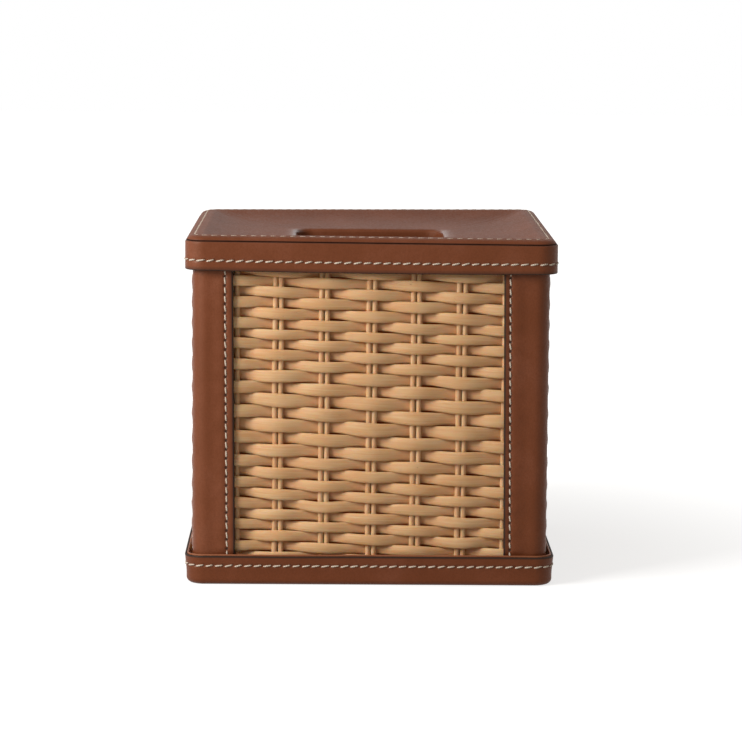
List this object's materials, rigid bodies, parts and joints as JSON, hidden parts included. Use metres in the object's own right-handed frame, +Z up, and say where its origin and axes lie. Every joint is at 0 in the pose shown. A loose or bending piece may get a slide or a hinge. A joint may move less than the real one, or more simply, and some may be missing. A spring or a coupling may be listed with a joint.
{
  "type": "tissue box with lift-off lid",
  "caption": "Cube tissue box of woven rattan panels between stitched leather corners, in a shallow leather tray, with a lift-off leather lid that has a dished top and a tissue slot.",
  "frame": {"origin": "middle of the underside, on the surface the box stands on", "axes": "+Z up, the front faces -Y, the slot's long side runs along X"},
  "size_m": [0.152, 0.152, 0.1435],
  "materials": {
    "leather": "saddle brown, smooth, low sheen",
    "edge_leather": "lighter brown inner layer, matt",
    "rattan_reed": "natural split rattan, satin",
    "rattan_rod": "natural round rattan, satin",
    "suede": "brown suede, matt",
    "wood": "plain board, sanded"
  },
  "bodies": {
    "case": {"base_board": "wood", "base_floor_lining": "suede", "base_rim_leather": "leather", "base_rim_lining": "edge_leather", "base_underside_pad": "suede", "bottom_rail_back": "wood", "bottom_rail_front": "wood", "bottom_rail_left": "wood", "bottom_rail_right": "wood", "case_rim_binding": "leather", "corner_leather_back_left": "leather", "corner_leather_back_right": "leather", "corner_leather_front_left": "leather", "corner_leather_front_right": "leather", "corner_post_back_left": "wood", "corner_post_back_right": "wood", "corner_post_front_left": "wood", "corner_post_front_right": "wood", "side_lining_back": "suede", "side_lining_front": "suede", "side_lining_left": "suede", "side_lining_right": "suede", "top_rail_back": "wood", "top_rail_front": "wood", "top_rail_left": "wood", "top_rail_right": "wood", "weave_reeds_back": "rattan_reed", "weave_reeds_front": "rattan_reed", "weave_reeds_left": "rattan_reed", "weave_reeds_right": "rattan_reed", "weave_stakes_back": "rattan_rod", "weave_stakes_front": "rattan_rod", "weave_stakes_left": "rattan_rod", "weave_stakes_right": "rattan_rod"},
    "lid": {"lid_band_leather": "leather", "lid_band_lining": "edge_leather", "lid_board": "wood", "lid_top_leather": "leather", "lid_underside_lining": "suede"}
  },
  "joints": [
    {"name": "lid_lift", "type": "slide", "parent": "case", "child": "lid", "axis": [0, 0, 1], "range_m": [0, 0.15]}
  ]
}
